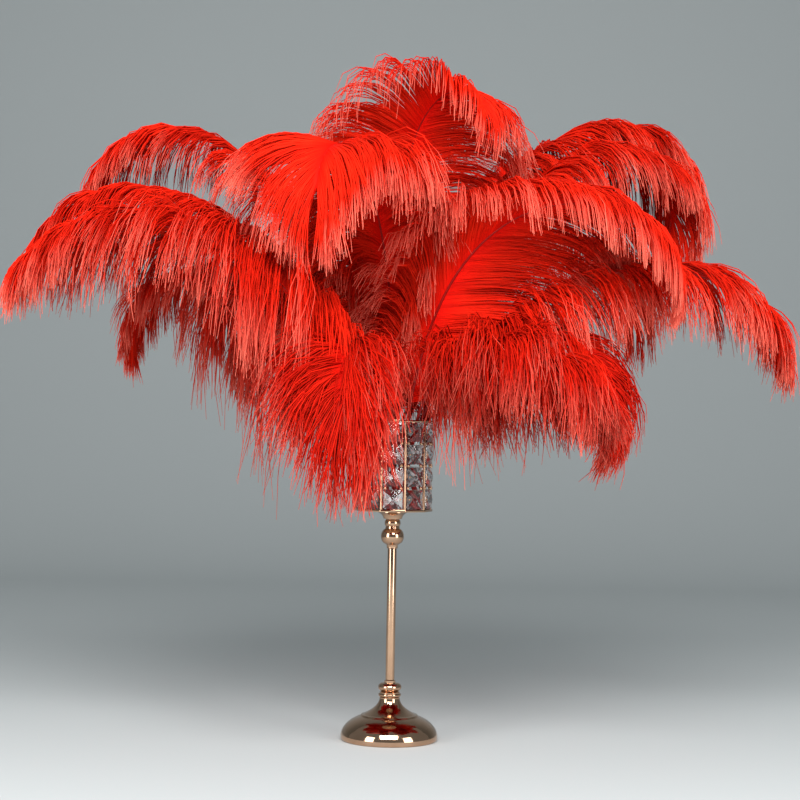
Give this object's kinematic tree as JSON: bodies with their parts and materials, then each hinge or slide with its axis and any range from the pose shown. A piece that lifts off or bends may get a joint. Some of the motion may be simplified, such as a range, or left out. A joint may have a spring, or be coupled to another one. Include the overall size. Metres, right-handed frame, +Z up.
{
  "type": "ostrich feather arrangement",
  "caption": "Bunch of arching red-dyed ostrich plumes standing in a tall plated candle-holder vase with a cup of square crystal beads, a slim stem with turned knops and a domed foot.",
  "frame": {"origin": "centre of the foot's flat underside, on the surface it stands on", "axes": "+Z up along the stem, -Y towards the viewer of the picture, +X to the viewer's right, along the widest spread of the plumes"},
  "size_m": [0.9294, 0.6866, 0.8139],
  "materials": {
    "dyed_plume": "matte",
    "plated_metal": "polished",
    "crystal": "polished"
  },
  "bodies": {
    "root": {"foot": "plated_metal", "lower_knop": "plated_metal", "stem_tube": "plated_metal", "upper_knop": "plated_metal", "cup_collar": "plated_metal", "cup_frame": "plated_metal", "crystal_column_01": "crystal", "crystal_column_02": "crystal", "crystal_column_03": "crystal", "crystal_column_04": "crystal", "crystal_column_05": "crystal", "crystal_column_06": "crystal", "crystal_column_07": "crystal", "crystal_column_08": "crystal", "crystal_column_09": "crystal", "crystal_column_10": "crystal", "feather_top": "dyed_plume", "feather_top_front": "dyed_plume", "feather_left_upper": "dyed_plume", "feather_back_high": "dyed_plume", "feather_right_upper_back": "dyed_plume", "feather_right_upper": "dyed_plume", "feather_right_front": "dyed_plume", "feather_left_middle": "dyed_plume", "feather_left_front": "dyed_plume", "feather_left_low": "dyed_plume", "feather_front_left": "dyed_plume", "feather_front_right": "dyed_plume", "feather_right_low": "dyed_plume", "feather_right_far": "dyed_plume", "feather_back_right": "dyed_plume", "feather_back_low": "dyed_plume", "feather_back_left": "dyed_plume", "feather_back_far_left": "dyed_plume"}
  },
  "joints": []
}
